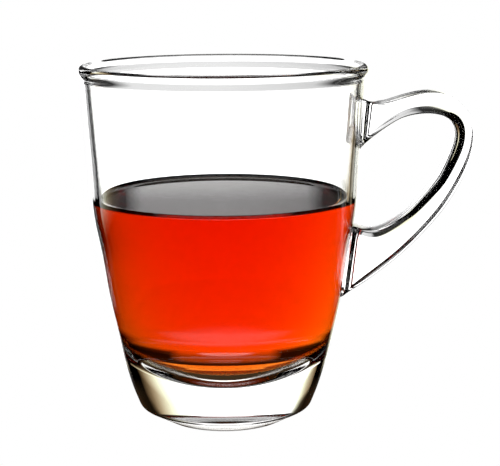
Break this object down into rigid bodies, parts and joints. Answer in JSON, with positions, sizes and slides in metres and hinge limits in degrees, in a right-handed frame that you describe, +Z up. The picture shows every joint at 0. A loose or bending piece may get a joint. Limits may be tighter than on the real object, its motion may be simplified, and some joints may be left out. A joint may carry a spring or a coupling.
{
  "type": "glass mug of tea",
  "caption": "Clear pressed glass tea mug with a rounded rim bead, a heavy foot and a fused ear handle, part filled with clear red-brown black tea.",
  "frame": {"origin": "centre of the flat foot, on the surface that the mug stands on", "axes": "+Z up along the axis of the turned body, +X towards the handle, +Y to the back"},
  "size_m": [0.1121, 0.082, 0.1025],
  "materials": {
    "clear_glass": "clear, smooth, colourless pressed glass",
    "black_tea": "clear red-brown tea with a smooth liquid surface"
  },
  "bodies": {
    "root": {"glass_mug": "clear_glass", "tea": "black_tea"}
  },
  "joints": []
}
